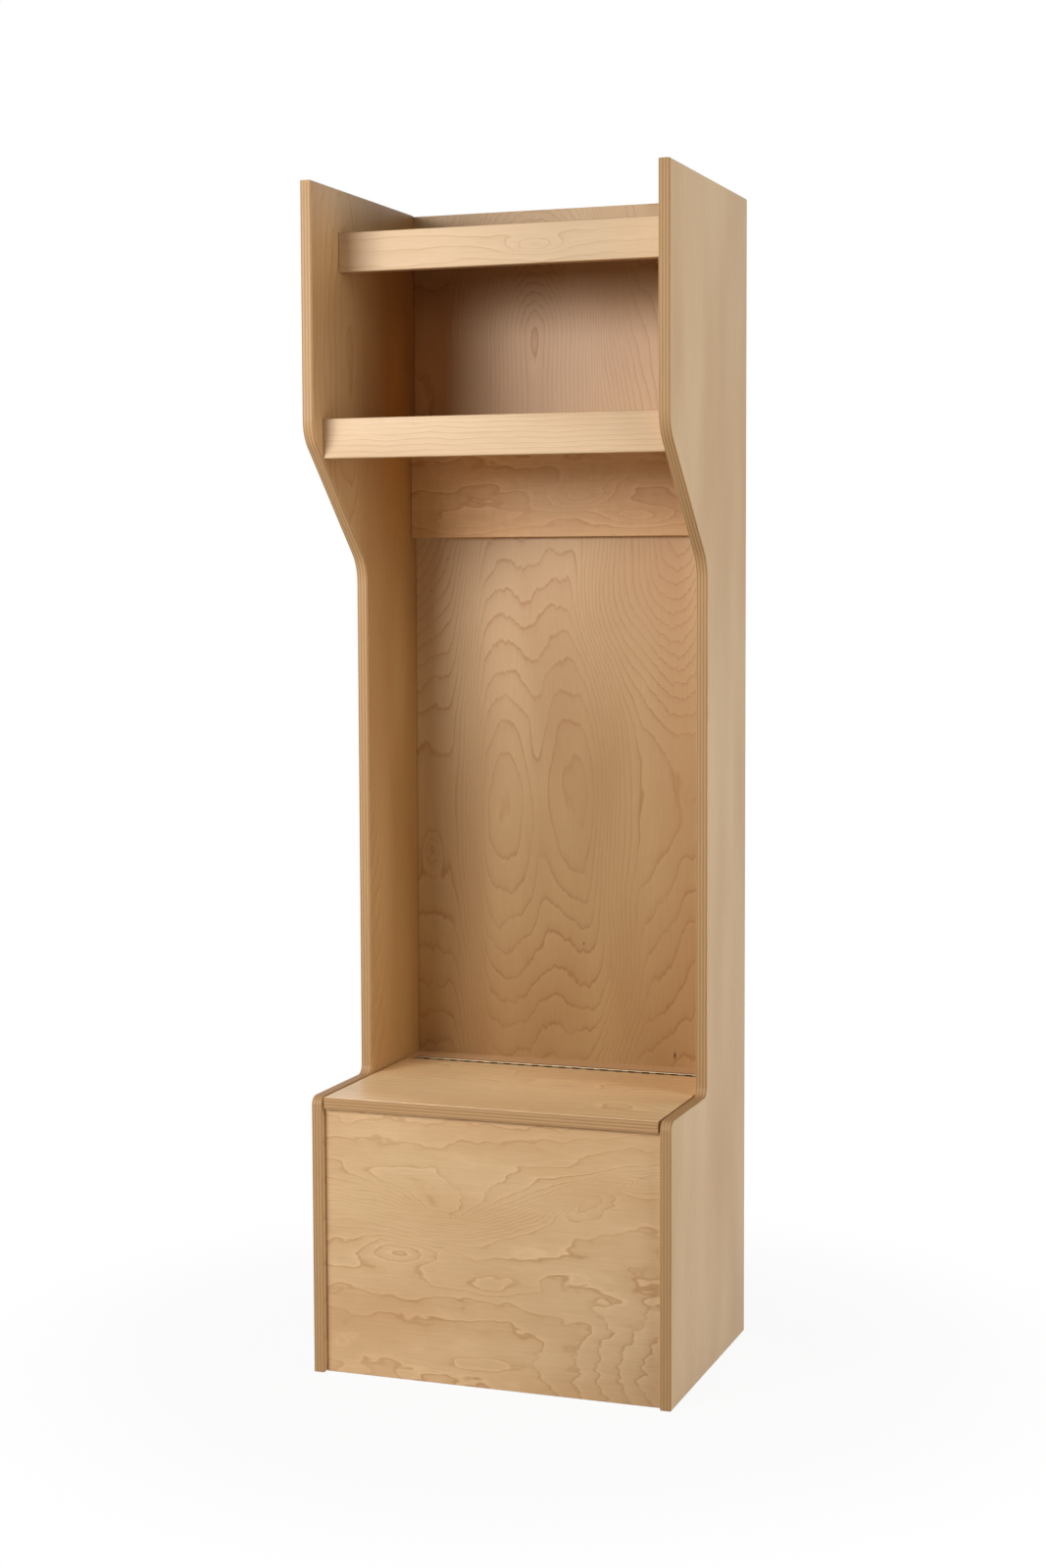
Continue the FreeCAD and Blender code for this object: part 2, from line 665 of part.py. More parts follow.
def buildAll():
    sidePanel("left_side_panel", -1)
    sidePanel("right_side_panel", 1)
    backPanel()
    shelf("top_shelf", topLipFace, topShelfUnderside)
    lip("top_shelf_lip", topLipFace, topLipTop, dowels["top_lip_dowels"])
    shelf("middle_shelf", middleLipFace, middleShelfUnderside)
    lip("middle_shelf_lip", middleLipFace, middleLipTop, dowels["middle_lip_dowels"])
    hookRail()
    binPanel()
    binFloor()
    sideCleat("left_lid_cleat", -1)
    sideCleat("right_lid_cleat", 1)
    rearCleat()
    rearStrip()
    seatLid()
    hingeLeaf("hinge_lid_leaf", -1, cell["pinFit"], 1)
    hingeLeaf("hinge_fixed_leaf", 1, cell["pinHold"], 0)
    hingePin()
    for label, places in dowels.items():
        dowelGroup(label, places)
    screwGroups()


buildAll()
doc.recompute()
bodies = [item for item in doc.Objects if item.TypeId == "PartDesign::Body"]
faults = [item.Label for item in doc.Objects if {"Invalid", "Error"} & set(item.State)]
faults += [body.Label for body in bodies if body.Shape.isNull() or not body.Shape.isValid()]
if faults:
    raise RuntimeError(f"failed: {faults}")
for body in bodies:
    body.Shape.exportStep(f"parts/{body.Label}.step")
    print(body.Label, len(body.Shape.Solids), round(body.Shape.Volume))
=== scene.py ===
import bpy
import numpy as np
from mathutils import Matrix, Vector


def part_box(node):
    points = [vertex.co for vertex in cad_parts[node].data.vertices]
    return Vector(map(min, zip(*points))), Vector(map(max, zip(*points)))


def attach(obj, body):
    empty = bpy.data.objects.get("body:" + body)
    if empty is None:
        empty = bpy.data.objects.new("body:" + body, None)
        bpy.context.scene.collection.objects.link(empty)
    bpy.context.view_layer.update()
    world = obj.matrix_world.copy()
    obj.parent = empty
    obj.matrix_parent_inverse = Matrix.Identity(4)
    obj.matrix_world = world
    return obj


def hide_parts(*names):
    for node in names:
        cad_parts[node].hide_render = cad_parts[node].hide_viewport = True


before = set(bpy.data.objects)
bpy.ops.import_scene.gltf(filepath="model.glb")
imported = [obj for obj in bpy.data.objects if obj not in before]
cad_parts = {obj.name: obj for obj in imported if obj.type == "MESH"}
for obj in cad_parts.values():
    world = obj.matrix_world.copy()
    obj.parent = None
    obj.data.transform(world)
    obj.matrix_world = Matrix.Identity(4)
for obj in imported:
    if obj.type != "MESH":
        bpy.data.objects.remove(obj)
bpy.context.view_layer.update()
print("frame loaded")


class Wire:  # one socket of a shader tree; an expression on wires adds its Math nodes
    def __init__(self, tree, socket):
        self.tree, self.socket = tree, socket

    # adds any node: settings first (a ramp's stops too), then the values or links of its sockets
    def node(self, kind, settings=None, inputs=None, output=0):
        made = self.tree.nodes.new(kind)
        for name, value in (settings or {}).items():
            if name == "stops":
                ramp = made.color_ramp
                while len(ramp.elements) < len(value):
                    ramp.elements.new(0.5)
                for spot, (place, grey) in zip(ramp.elements, value):
                    spot.position, spot.color = place, (grey, grey, grey, 1)
            else:
                setattr(made, name, value)
        for name, value in (inputs or {}).items():
            if isinstance(value, Wire):
                self.tree.links.new(value.socket, made.inputs[name])
            else:
                made.inputs[name].default_value = value
        return Wire(self.tree, made.outputs[output])

    def maths(self, operation, *values, clamp=False):
        settings = {"operation": operation, "use_clamp": clamp}
        return self.node("ShaderNodeMath", settings, dict(enumerate(values)))

    def __add__(self, other):
        return self.maths("ADD", self, other)

    def __radd__(self, other):
        return self.maths("ADD", other, self)

    def __sub__(self, other):
        return self.maths("SUBTRACT", self, other)

    def __rsub__(self, other):
        return self.maths("SUBTRACT", other, self)

    def __mul__(self, other):
        return self.maths("MULTIPLY", self, other)

    def __rmul__(self, other):
        return self.maths("MULTIPLY", other, self)

    def __truediv__(self, other):
        return self.maths("DIVIDE", self, other)

    def __pow__(self, other):
        return self.maths("POWER", self, other)

    def __neg__(self):
        return self.maths("MULTIPLY", self, -1.0)

    def __abs__(self):
        return self.maths("ABSOLUTE", self)

    def held(self):  # kept between 0 and 1
        return self.maths("ADD", self, 0.0, clamp=True)

    def root(self):
        return self.maths("SQRT", self)

    def fraction(self):
        return self.maths("FRACT", self)

    # 0 below low, 1 above high, a soft step between; low may be the larger
    def step(self, low, high):
        return self.node("ShaderNodeMapRange", {"interpolation_type": "SMOOTHSTEP"},
                         {0: self, 1: low, 2: high})

    def ramp(self, stops):
        return self.node("ShaderNodeValToRGB", {"stops": stops}, {0: self})

    # cloudy noise about zero on two lengths in millimetres, from about -0.5 to 0.5
    def cloud(self, across, along, broad, long, seed, detail=1.5, rough=0.5):
        place = self.node("ShaderNodeCombineXYZ", None, {0: across / broad, 1: along / long, 2: seed})
        return self.node("ShaderNodeTexNoise", {"noise_dimensions": "3D"},
                         {"Vector": place, "Scale": 1.0, "Detail": detail, "Roughness": rough}) - 0.5

    def blend(self, factor, first, second):  # two colours
        return self.node("ShaderNodeMix", {"data_type": "RGBA", "clamp_factor": True},
                         {0: factor, 6: first, 7: second}, 2)

    def times(self, colour, other):  # a colour times a fixed one
        return self.node("ShaderNodeVectorMath", {"operation": "MULTIPLY"}, {0: colour, 1: other})

    def plus(self, colour, other):  # the sum of two colours
        return self.node("ShaderNodeVectorMath", {"operation": "ADD"}, {0: colour, 1: other})

    def dim(self, colour, amount):  # a colour times a number
        return self.node("ShaderNodeVectorMath", {"operation": "SCALE"}, {0: colour, 3: amount})


def tint(red, green, blue):  # a colour as seen on a screen, 0 to 255, made linear
    def line(v):
        v = v / 255
        return v / 12.92 if v <= 0.04045 else ((v + 0.055) / 1.055) ** 2.4
    return (line(red), line(green), line(blue), 1.0)


# a new material with one Principled surface; constants go straight on its sockets.
# the axes are the piece's own coordinates in millimetres
def newSurface(name, fixed):
    material = bpy.data.materials.new(name)
    material.use_nodes = True
    tree = material.node_tree
    tree.nodes.clear()
    out = tree.nodes.new("ShaderNodeOutputMaterial")
    shell = tree.nodes.new("ShaderNodeBsdfPrincipled")
    tree.links.new(shell.outputs[0], out.inputs[0])
    for socket, value in fixed.items():
        shell.inputs[socket].default_value = value
    start = Wire(tree, None)
    place = start.node("ShaderNodeTexCoord", output="Object")
    parts = start.node("ShaderNodeSeparateXYZ", None, {0: place})
    axes = [Wire(tree, parts.socket.node.outputs[i]) * 1000.0 for i in range(3)]
    return material, shell, start, axes


def plug(shell, socket, wire):
    wire.tree.links.new(wire.socket, shell.inputs[socket])


# relief made of wires, as a bump of this strength and depth in metres
def emboss(shell, relief, bump):
    strength, deepest = bump
    plug(shell, "Normal", relief.node("ShaderNodeBump", None,
                                      {"Strength": strength, "Distance": deepest, "Height": relief}))


def paint(nodeName, material):
    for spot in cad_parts[nodeName].material_slots:
        spot.material = material


across, depth, up = 0, 1, 2
lowFace, highFace, bothFaces = -1, 1, 0  # where a patch of painted light and shade or a knot lies: the broad face at the lower or higher coordinate

woodTone = {
    "pale": tint(226, 192, 148), "deep": tint(206, 164, 118), "line": tint(180, 127, 76),
    "edgePale": tint(197, 158, 112), "edgeDark": tint(176, 134, 90),
}

# clouds in a board: millimetres across and along the grain, shift of the seed, detail, roughness
boardClouds = {
    "fade": (55, 190, 5.3, 1.0, 0.5), "fibre": (0.9, 38, 1.9, 2.0, 0.5), "streak": (3.4, 60, 3.3, 2.5, 0.6),
    "mottle": (26, 14, 7.7, 2.0, 0.5), "broad": (120, 420, 2.2, 1.0, 0.5), "fleck": (2.2, 9, 4.4, 1.0, 0.5),
    "waver": (30, 30, 6.1, 1.0, 0.5), "run": (0.5, 45, 8.3, 2.5, 0.5), "pores": (0.7, 0.7, 0.6, 1.0, 0.5),
}

# over one growth line, how dark its late wood is and how pale the wood just after it
lateWood = [(0.0, 0.4), (0.04, 0.0), (0.6, 0.02), (0.86, 0.26), (0.95, 1.0), (1.0, 0.7)]
earlyWood = [(0.0, 0.0), (0.05, 1.0), (0.18, 0.35), (0.45, 0.0)]

# gain and level of the growth lines' fading and of the deeper tone, limits of flecks, strength of fibres and
# flecks, and how much red, green and blue take of a fine change
veneer = {
    "fade": (2.2, 0.72), "deep": (1.8, 0.4), "deepMottle": 0.35, "fleckLimits": (0.27, 0.36),
    "fibre": 0.16, "fleck": 0.12, "channels": (0.86, 1.14, 1.5),
}

# the cut edge, in millimetres through the board: face veneer, inner ply, waver of the glue lines, softness of
# the veneer's edge; then strengths of its streaks and pores, and how dark it is over a dark and a pale ply
plyStack = {
    "veneer": 0.8, "ply": 2.55, "waver": 0.22, "soft": 0.12, "run": 0.35, "pores": 0.25,
    "seen": [(0.0, 0.0), (0.03, 1.0), (0.47, 1.0), (0.5, 0.0), (0.97, 0.0), (1.0, 0.0)],
}

# a board that butts against the side panels: how far out it reaches and how dark the painted shade in its
# joint is
jointPaintedShade = {"reach": 285.3, "dark": 0.72}

boardFinish = {
    "rough": 0.46, "edgeRough": 0.14, "fibreRough": 0.08, "lineRough": 0.03, "bump": (0.35, 0.0002),
    "fibreRelief": 0.5, "lineRelief": 0.25, "fleckRelief": 0.4, "runRelief": 1.2, "plyRelief": 0.6,
}

# seed shift and detail of each noise in the contour; the small sway is finer and weaker than the sway
contourNoise = {"sway": (0.0, 1.0), "smallSway": (3.7, 1.0), "jag": (6.6, 2.0), "drift": (9.1, 2.0)}
smallSway = {"finerAcross": 7, "finerAlong": 9, "share": 0.3}
# an open bowl's legs end over this many millimetres either way, at a step of this many lines
legEnd = {"soft": 30, "lines": 40.0}

# what a board has unless its own row says otherwise; sway, jag and drift are two lengths in millimetres and a
# greatest shift, the first two in millimetres, the last in growth lines
plainBoard = {
    "lines": 0.5, "streak": 0.12, "mottle": 0.08, "glow": 0.04, "coat": 0.08,
    # tone and edgeTone scale a board's colour: its own colour, and painted light and shade that make the
    # whole board lighter or darker
    "tone": (1.0, 1.0, 1.0), "edgeTone": (1.0, 1.0, 1.0), "paintedLightAndKnots": [],
    "sway": (75, 260, 8), "jag": (7, 45, 5), "drift": (50, 130, 0.8), "tilt": 0.0,
    "reach": (-9999.0, 9999.0), "join": 1.0, "bowls": [], "walls": [], "hills": [], "bends": [],
}


# exp(-(da/wa)^2 - (dl/wl)^2), a soft round patch
def patch(wire, a, l, spot):
    ca, cl, wa, wl = spot
    return wire.maths("EXPONENT", -(((a - ca) / wa) ** 2.0 + ((l - cl) / wl) ** 2.0))


# contour height of the veneer over a board, in growth lines; whole numbers are the lines that show.
# bends and sway shift a point across the grain, jag shifts it along, then the height is the sum of
# bowl: n * (sqrt(1 + (da/wa)^2 + (dl/wl)^2) - 1) + lift, several joined by a soft minimum; a bowl with a
# place for the end of its legs is open and runs straight down to there,
# wall: n lines packed between two places across, hill: n lines on a patch, tilt: lines per millimetre,
# drift: lines of cloudy noise
def contour(wire, a, l, look):
    def noise(name, broad, long):
        shift, detail = contourNoise[name]
        return wire.cloud(a, l, broad, long, look["seed"] + shift, detail)

    swayA, swayL, sway = look["sway"]
    jagA, jagL, jag = look["jag"]
    driftA, driftL, drift = look["drift"]
    finer = noise("smallSway", swayA / smallSway["finerAcross"], swayL / smallSway["finerAlong"])
    moved = a + noise("sway", swayA, swayL) * (2 * sway) + finer * (smallSway["share"] * sway)
    for *spot, shift in look["bends"]:
        moved = moved + patch(wire, a, l, spot) * shift
    slid = l + noise("jag", jagA, jagL) * (2 * jag)
    height = noise("drift", driftA, driftL) * (2 * drift) + moved * look["tilt"]
    near, far = look["reach"]  # bowls stop growing across the grain outside these
    bounded = wire.maths("MINIMUM", wire.maths("MAXIMUM", moved, near), far)
    basin = None
    for ca, cl, wa, wl, n, lift, *legs in look["bowls"]:
        rise = wire.maths("MAXIMUM", slid - cl, 0.0) if legs else slid - cl
        one = (((bounded - ca) / wa) ** 2.0 + (rise / wl) ** 2.0 + 1.0).root() * n + (lift - n)
        if legs:
            one = one + l.step(legs[0] + legEnd["soft"], legs[0] - legEnd["soft"]) * legEnd["lines"]
        basin = one if basin is None else wire.maths("SMOOTH_MIN", basin, one, look["join"])
    if basin is not None:
        height = height + basin
    for start, end, n in look["walls"]:
        height = height + moved.step(start, end) * n
    for *spot, n in look["hills"]:
        height = height + patch(wire, moved, slid, spot) * n
    return height


# plywood of one board: face veneer at both broad faces, plies seen wherever the surface is deeper
def plyMaterial(nodeName, board):
    look = {**plainBoard, **board}
    material, shell, wire, axes = newSurface(nodeName + "_plywood", {
        "Coat Weight": look["coat"], "Coat Roughness": 0.28, "IOR": 1.45, "Specular IOR Level": 0.32})
    low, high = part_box(nodeName)
    thick, grain = look["thick"], look["grain"]
    other = 3 - thick - grain
    t, l, a = axes[thick], axes[grain], axes[other]
    middle, half = 500 * (low[thick] + high[thick]), 500 * (high[thick] - low[thick])

    def over(name, sideways=a, lengthways=l):
        broad, long, shift, detail, rough = boardClouds[name]
        return wire.cloud(sideways, lengthways, broad, long, look["seed"] + shift, detail, rough)

    phase = contour(wire, a, l, look).fraction()
    line = phase.ramp(lateWood)
    glow = phase.ramp(earlyWood)
    gain, level = veneer["fade"]
    fade = (over("fade") * gain + level).held()
    fibre, mottle = over("fibre"), over("mottle")
    fleck = over("fleck").step(*veneer["fleckLimits"])
    gain, level = veneer["deep"]
    deeper = (over("broad") * gain + level + mottle * veneer["deepMottle"]).held()
    face = wire.blend(deeper, woodTone["pale"], woodTone["deep"])
    face = wire.blend(line * fade * look["lines"], face, woodTone["line"])
    change = fibre * veneer["fibre"] + over("streak") * look["streak"] + mottle * look["mottle"] \
        - fleck * veneer["fleck"] + glow * fade * look["glow"]
    face = wire.plus(face, wire.dim(wire.times(face, veneer["channels"]), change))
    # the board's tone: its own colour with painted light and shade over the whole board
    face = wire.times(face, look["tone"])
    for *spot, patchTint, facing in look["paintedLightAndKnots"]:  # soft patches of another tone: painted light and shade, and a few real knots
        soft = patch(wire, a, l, spot)
        if facing != bothFaces:
            soft = soft * ((t - middle) * facing / half).held()
        face = wire.blend(soft, face, wire.times(face, patchTint))

    wavy = half - abs(t - middle) + over("waver") * (2 * plyStack["waver"])
    dark = ((wavy - plyStack["veneer"]) / (2 * plyStack["ply"])).fraction().ramp(plyStack["seen"])
    run = over("run", t, a + l)
    pores = over("pores", a + t, l + t)
    core = wire.blend(dark, woodTone["edgePale"], woodTone["edgeDark"])
    core = wire.dim(core, 1.0 + run * plyStack["run"] + pores * dark * plyStack["pores"])
    edge = wavy.step(plyStack["veneer"] - plyStack["soft"], plyStack["veneer"] + plyStack["soft"])
    colour = wire.blend(edge, face, wire.times(core, look["edgeTone"]))
    # painted shade in the joint with a side panel: a dark band this wide at the board's ends
    if "shadeBandWidth" in look:
        gap = (abs(axes[across]) - (jointPaintedShade["reach"] - look["shadeBandWidth"])) / look["shadeBandWidth"]
        colour = wire.dim(colour, 1.0 - gap.held() * jointPaintedShade["dark"])
    f = boardFinish
    plug(shell, "Base Color", colour)
    rough = f["rough"] + edge * f["edgeRough"] + fibre * f["fibreRough"] + line * f["lineRough"]
    plug(shell, "Roughness", rough)
    relief = fibre * f["fibreRelief"] - line * f["lineRelief"] - fleck * f["fleckRelief"]
    emboss(shell, relief + run * edge * f["runRelief"] - dark * edge * f["plyRelief"], f["bump"])
    return material


# places on a board: across the grain, along the grain, then their widths, all in millimetres
boards = {
    "left_side_panel": {
        "thick": across, "grain": up, "seed": 11.0, "streak": 0.2, "tilt": 0.03,
        "tone": (0.90, 0.86, 0.78), "edgeTone": (0.95, 0.94, 0.91),
        "bowls": [(-70, 1660, 24, 110, 2, 0)],
        "walls": [(40, 190, 12)],
        "hills": [(-40, 600, 80, 400, 3)],
        # tone and patches: painted shade on the inner face, darker towards the back, and two patches of
        # painted light
        "paintedLightAndKnots": [(250, 1000, 330, 9999, (0.68, 0.60, 0.40), highFace),
                   (115, 1540, 60, 170, (1.40, 1.36, 1.05), highFace),
                   (-150, 1860, 130, 90, (1.14, 1.14, 1.14), highFace)],
    },
    "right_side_panel": {
        "thick": across, "grain": up, "seed": 17.0, "lines": 0.16, "tilt": 0.09, "streak": 0.15,
        "tone": (1.075, 1.085, 1.035), "edgeTone": (0.88, 0.87, 0.82),
        # painted light on the outer face, lighter lower down; the tone lifts it too
        "paintedLightAndKnots": [(100, 300, 260, 320, (1.07, 1.07, 1.09), highFace)],
    },
    "back_panel": {
        "thick": depth, "grain": up, "seed": 23.0, "lines": 0.56, "shadeBandWidth": 1.4, "tone": (0.845, 0.82, 0.79),
        "reach": (-190, 90), "join": 1.6, "sway": (80, 240, 5), "jag": (5, 46, 8), "drift": (44, 120, 0.6),
        "bowls": [(-119, 893, 28, 88, 2, 0), (16, 925, 42, 92, 2, 0.6), (-63, 1715, 15, 30, 2, 0, 1450)],
        "walls": [(-150, -225, 7), (20, 132, 9)],
        "hills": [(200, 1400, 60, 290, 9), (-300, 1390, 70, 190, 6), (-257, 817, 14, 26, 2.4),
                  (230, 700, 60, 220, 2.2)],
        "bends": [(60, 1250, 120, 120, 42), (60, 600, 120, 110, -26)],
        # painted shade, darker towards the bottom; painted shadows under the top lip; painted light where the
        # left side's shadow softens; the last two are real knots
        "paintedLightAndKnots": [(0, 350, 9999, 640, (0.74, 0.66, 0.50), lowFace),
                   (-130, 1300, 150, 200, (1.04, 1.03, 1.04), lowFace),
                   (30, 1680, 230, 130, (1.02, 1.02, 1.10), lowFace),
                   (0, 1800, 9999, 46, (0.72, 0.66, 0.54), lowFace),
                   (-288, 880, 36, 560, (1.24, 1.21, 1.14), lowFace),
                   (60, 900, 230, 330, (0.92, 0.91, 0.85), lowFace),
                   (150, 1785, 130, 50, (0.78, 0.74, 0.62), lowFace),
                   (90, 1700, 110, 80, (0.91, 0.90, 0.91), lowFace),
                   (-262, 1620, 46, 110, (1.28, 1.26, 1.1), lowFace),
                   (-76, 1680, 56, 80, (1.14, 1.15, 1.14), lowFace),
                   (188, 478, 1.9, 5.5, (0.16, 0.09, 0.05), lowFace),
                   (24, 664, 1.4, 2.6, (0.3, 0.2, 0.12), lowFace)],
    },
    "top_shelf_lip": {
        "thick": depth, "grain": across, "seed": 31.0, "lines": 0.34, "shadeBandWidth": 1.4, "tone": (0.94, 0.95, 0.97),
        "tilt": 0.05, "jag": (5, 30, 8),
        "hills": [(1820, 50, 12, 44, 2.6)],
    },
    "middle_shelf_lip": {
        "thick": depth, "grain": across, "seed": 37.0, "lines": 0.40, "shadeBandWidth": 1.4, "tone": (0.94, 0.95, 0.99),
        "tilt": 0.12, "jag": (5, 40, 8), "sway": (40, 120, 3),
    },
    "hook_rail": {
        "thick": depth, "grain": across, "seed": 41.0, "lines": 0.44, "glow": 0.16, "streak": 0.2,
        "mottle": 0.24, "shadeBandWidth": 1.4, "tone": (0.995, 0.91, 0.785),
        "tilt": 0.02, "jag": (6, 26, 9), "drift": (30, 80, 0.8),
        "hills": [(1436, 21, 24, 60, 3.4), (1470, 60, 18, 50, 2.2), (1400, 130, 18, 60, 2.4),
                  (1400, -160, 18, 90, 2)],
        # painted shade at the left end and to the right, painted light between
        "paintedLightAndKnots": [(1430, -290, 9999, 60, (0.86, 0.78, 0.60), bothFaces),
                   (1430, -140, 9999, 80, (1.16, 1.13, 1.08), bothFaces),
                   (1430, 215, 9999, 80, (0.88, 0.84, 0.78), bothFaces)],
    },
    "bench_front_panel": {
        "thick": depth, "grain": across, "seed": 47.0, "lines": 0.56, "glow": 0.13, "streak": 0.2,
        "mottle": 0.14, "shadeBandWidth": 2.2, "tone": (0.972, 0.938, 0.894),
        "tilt": 0.028, "sway": (50, 110, 7), "jag": (5, 24, 8), "drift": (30, 70, 0.9),
        "walls": [(236, 330, 8), (110, -20, 2)],
        "bends": [(290, -60, 46, 80, 40), (300, 310, 130, 180, -105), (80, 290, 60, 130, -30)],
        "hills": [(212, -155, 22, 62, -3), (269, 169, 24, 52, -5), (277, 254, 11, 22, 3.6),
                  (168, -6, 16, 76, 1.6), (37, -26, 14, 46, 1.6), (308, -60, 8, 16, 2.2),
                  (262, -70, 30, 60, 1.2), (20, 330, 120, 170, 6), (330, -120, 26, 110, 2.6)],
        # painted shade at the lower right, painted light at the lower left
        "paintedLightAndKnots": [(40, 290, 170, 230, (0.84, 0.84, 0.84), bothFaces),
                   (60, -230, 120, 160, (1.04, 1.04, 1.06), bothFaces)],
    },
    "seat_lid": {
        "thick": up, "grain": across, "seed": 53.0, "lines": 0.48, "glow": 0.14, "streak": 0.22,
        # tone lifts the lid as painted light; a painted highlight at the front left and a painted shadow of
        # the left side at the rear left
        "mottle": 0.2, "coat": 0.3, "tilt": 0.05, "tone": (1.27, 1.355, 1.35), "edgeTone": (0.95, 0.92, 0.86),
        "hills": [(-20, 60, 40, 120, 3.4), (60, -120, 30, 90, 2.6), (-110, 190, 30, 70, -2.4)],
        "paintedLightAndKnots": [(-215, -175, 90, 130, (1.18, 1.18, 1.26), bothFaces),
                   (120, -230, 80, 120, (0.86, 0.84, 0.78), bothFaces)],
    },
    "bench_rear_strip": {
        "thick": up, "grain": across, "seed": 59.0, "lines": 0.24, "tilt": 0.08, "shadeBandWidth": 1.4,
    },
    "top_shelf": {
        "thick": up, "grain": across, "seed": 61.0, "lines": 0.4, "bowls": [(20, 60, 24, 110, 2, 0)],
    },
    "middle_shelf": {
        "thick": up, "grain": across, "seed": 67.0, "lines": 0.4, "bowls": [(-20, -80, 24, 110, 2, 0)],
    },
    "bench_floor": {
        "thick": up, "grain": across, "seed": 71.0, "lines": 0.4, "bowls": [(0, 60, 24, 110, 2, 0)],
    },
    "rear_strip_cleat": {"thick": depth, "grain": across, "seed": 73.0, "lines": 0.3, "tilt": 0.08},
    "left_lid_cleat": {"thick": across, "grain": depth, "seed": 79.0, "lines": 0.3, "tilt": 0.08},
    "right_lid_cleat": {"thick": across, "grain": depth, "seed": 83.0, "lines": 0.3, "tilt": 0.08},
}
for boardName, board in boards.items():
    paint(boardName, plyMaterial(boardName, board))
print("plywood painted")


# clouds: millimetres across and along, seed, detail; then gains and levels, limits, tone, roughness, relief
beechLook = {
    "pale": tint(222, 188, 150), "deep": tint(198, 156, 116), "streak": (4, 22, 3.0, 2.0), "stretch": 6.0,
    "streakTone": (1.6, 0.5), "ray": (0.8, 3.5, 5.0, 1.0), "rayLimits": (0.12, 0.3), "rayDark": 0.16,
    "rough": 0.62, "streakRough": 0.12, "rayRelief": 0.4, "bump": (0.3, 0.0002),
}


# turned beech: streaks along x, where every dowel lies, and short rays across them
def dowelMaterial(name):
    b = beechLook
    material, shell, wire, (x, y, z) = newSurface(name, {"IOR": 1.45})
    streak = wire.cloud(y * b["stretch"], x + z, *b["streak"])
    ray = wire.cloud(y + z, x, *b["ray"]).step(*b["rayLimits"])
    gain, level = b["streakTone"]
    colour = wire.blend((streak * gain + level).held(), b["pale"], b["deep"])
    plug(shell, "Base Color", wire.dim(colour, 1.0 - ray * b["rayDark"]))
    plug(shell, "Roughness", b["rough"] + streak * b["streakRough"])
    emboss(shell, streak - ray * b["rayRelief"], b["bump"])
    return material


beech = dowelMaterial("beech_dowel")
for joint in ("top_lip", "middle_lip", "hook_rail", "rear_strip", "front_panel"):
    paint(joint + "_dowels", beech)

# hinge sizes in millimetres and degrees; in a leaf's section the pin is at (0, 0)
hinge = {
    "axisY": 136.2, "axisZ": 459.3, "start": -262.5, "pitch": 12.5, "count": 42, "gap": 0.15, "sheet": 1.2,
    "sheetMiddle": 0.85, "barrelMiddle": 1.9, "foot": -13.0, "footShare": 0.6, "notch": -4.1,
    "neckAngle": -125.0, "lidTip": -428.0, "fixedTip": -350.0, "curlSteps": 26,
    "pinRadius": 1.22, "pinTurns": 20, "pinRings": 7, "pinDome": 0.7, "pinTip": 0.02,
    "screwsX": (43.75, 131.25, 218.75), "screwsZ": 451.3, "seatRadius": 3.2, "seatTurns": 28,
    "headProud": 0.03,
}

# painted shade in the narrow gap under the hinge's barrel, a dark band: soft limits in millimetres from the
# pin
paintedGapShade = {"tone": tint(58, 44, 34), "wide": (1.9, 1.4), "top": (-0.2, -0.7), "foot": (-6.0, -5.0), "rough": 0.3}

# what all metals share: clouds in millimetres, seed shift, detail, roughness, then gains on tone and relief
metalLook = {
    "cloud": (9, 9, 0.0, 3.0, 0.6), "rub": (14, 0.35, 2.0, 2.0, 0.5),
    "cloudTone": (1.8, 0.5), "rubTone": 0.08, "cloudRough": 0.16, "rubRough": 0.10,
    "cloudRelief": 0.5, "bump": (0.2, 0.0001),
}


# plated or bare metal: a cloudy tone and rub marks along x, with painted shade in the hinge's gap where asked
def metalMaterial(name, look):
    m = metalLook
    material, shell, wire, (x, y, z) = newSurface(name, {"Metallic": 1.0})

    def over(sideways, lengthways, spread):
        broad, long, shift, detail, rough = spread
        return wire.cloud(sideways, lengthways, broad, long, look["seed"] + shift, detail, rough)

    cloud = over(x + z, y - z, m["cloud"])
    rub = over(x, y + z, m["rub"])
    gain, level = m["cloudTone"]
    colour = wire.blend((cloud * gain + level).held(), look["bright"], look["dull"])
    colour = wire.dim(colour, 1.0 + rub * m["rubTone"])
    rough = look["rough"] + cloud * m["cloudRough"] + rub * m["rubRough"]
    # painted shade: the nickel is darkened in the gap under the barrel
    if look["paintsGapShade"]:
        fromY, fromZ = y - hinge["axisY"], z - hinge["axisZ"]
        gapShadeMask = abs(fromY).step(*paintedGapShade["wide"]) * fromZ.step(*paintedGapShade["top"]) * fromZ.step(*paintedGapShade["foot"])
        colour, rough = wire.blend(gapShadeMask, colour, paintedGapShade["tone"]), rough + gapShadeMask * paintedGapShade["rough"]
    plug(shell, "Base Color", colour)
    plug(shell, "Roughness", rough)
    emboss(shell, rub + cloud * m["cloudRelief"], m["bump"])
    return material


nickel = metalMaterial("nickel_plate", {
    "seed": 2.0, "bright": tint(168, 146, 116), "dull": tint(134, 114, 88), "rough": 0.5, "paintsGapShade": True})
# the pin is dull steel, made darker still as painted shade in the opening under the barrel
steel = metalMaterial("pin_steel", {
    "seed": 5.0, "bright": tint(96, 86, 76), "dull": tint(66, 58, 50), "rough": 0.5, "paintsGapShade": False})
zinc = metalMaterial("zinc_plate", {
    "seed": 8.0, "bright": tint(214, 212, 204), "dull": tint(168, 164, 152), "rough": 0.38, "paintsGapShade": False})

sharpAngle = 0.7  # radians; sharper edges of a new piece stay sharp


